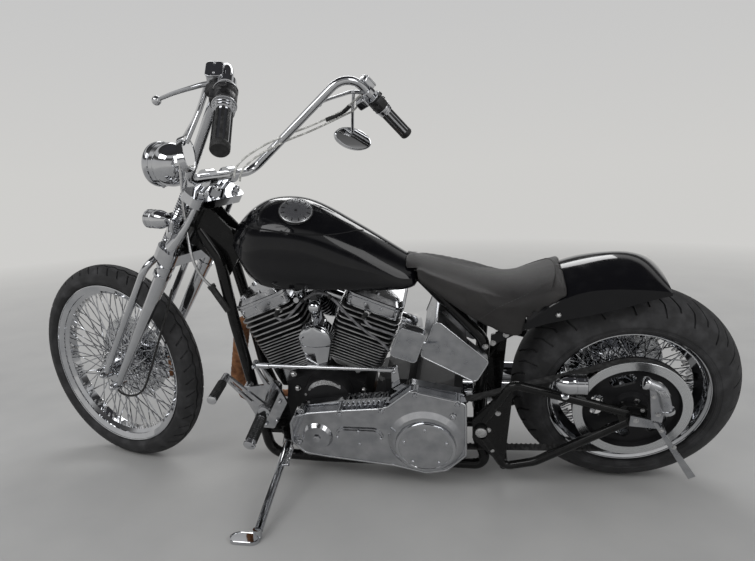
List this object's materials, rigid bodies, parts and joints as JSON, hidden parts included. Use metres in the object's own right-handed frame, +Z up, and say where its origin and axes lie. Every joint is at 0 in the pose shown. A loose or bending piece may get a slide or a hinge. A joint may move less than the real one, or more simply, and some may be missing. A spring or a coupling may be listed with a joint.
{
  "type": "chopper motorcycle",
  "caption": "Long-forked chopper motorcycle with a V-twin engine, springer fork, high bars and wire wheels, parked on its side stand.",
  "frame": {"origin": "middle of the floor area under the parked motorcycle, at floor height", "axes": "+X forwards along the parked machine, +Y to the rider's left, +Z up"},
  "size_m": [2.3034, 1.0643, 1.2425],
  "materials": {
    "black_paint": "gloss black enamel",
    "black_engine": "satin black engine enamel",
    "chrome": "polished chrome",
    "polished_alloy": "polished",
    "brushed_steel": "brushed",
    "steel": "machined",
    "pulley_black": "black anodised",
    "tyre": "matt, used",
    "rubber": "matt",
    "leather": "black, grained and stitched",
    "header_wrap": "heat-browned woven wrap",
    "black_plastic": "satin",
    "lens_clear": "clear fluted",
    "lens_red": "red",
    "lens_amber": "amber",
    "mirror_glass": "silvered"
  },
  "bodies": {
    "frame": {"frame": "black_paint", "swingarm": "black_paint", "crankcase": "black_engine", "cylinders": "black_engine", "rocker_boxes": "chrome", "cam_cover": "chrome", "gearbox": "black_engine", "primary_cover": "polished_alloy", "horn_cover": "chrome", "air_cleaner": "chrome", "exhaust_header": "header_wrap", "exhaust_pipes": "chrome", "fuel_tank": "black_paint", "oil_tank": "brushed_steel", "coil_cover": "brushed_steel", "seat": "leather", "rear_fender": "black_paint", "foot_controls": "chrome", "shift_linkage": "chrome", "drive_belt": "rubber", "rear_signals": "chrome", "plate_holder": "brushed_steel", "rear_caliper": "chrome"},
    "rear_wheel": {"rear_tyre": "tyre", "rear_rim": "chrome", "rear_hub": "chrome", "rear_spokes": "chrome", "rear_pulley": "pulley_black"},
    "side_stand": {"side_stand": "chrome"},
    "steering": {"fork_trees": "chrome", "rigid_legs": "chrome", "spring_legs": "chrome", "fork_springs": "chrome", "handlebar": "chrome", "grips": "rubber", "hand_controls": "chrome", "mirror": "chrome", "headlight": "chrome", "front_signals": "chrome", "front_caliper": "chrome"},
    "front_wheel": {"front_tyre": "tyre", "front_rim": "chrome", "front_hub": "chrome", "front_spokes": "chrome"}
  },
  "joints": [
    {"name": "steering", "type": "hinge", "parent": "frame", "child": "steering", "pos_m": [0.957, -0.3015, 0.00766], "axis": [-0.5391, 0.2254, 0.8115], "range_deg": [-11.5, 52.5]},
    {"name": "front_wheel_spin", "type": "hinge", "parent": "steering", "child": "front_wheel", "pos_m": [0.82028, -0.23496, 0.3443], "axis": [0.2955, 0.9529, -0.0683], "continuous": true},
    {"name": "rear_wheel_spin", "type": "hinge", "parent": "frame", "child": "rear_wheel", "pos_m": [-0.82571, -0.21438, 0.31778], "axis": [0.0006, 0.9636, -0.2672], "continuous": true},
    {"name": "side_stand_fold", "type": "hinge", "parent": "frame", "child": "side_stand", "pos_m": [0.20874, -0.14771, 0.11898], "axis": [-0.2607, 0.2444, 0.934], "range_deg": [0, 85]}
  ]
}
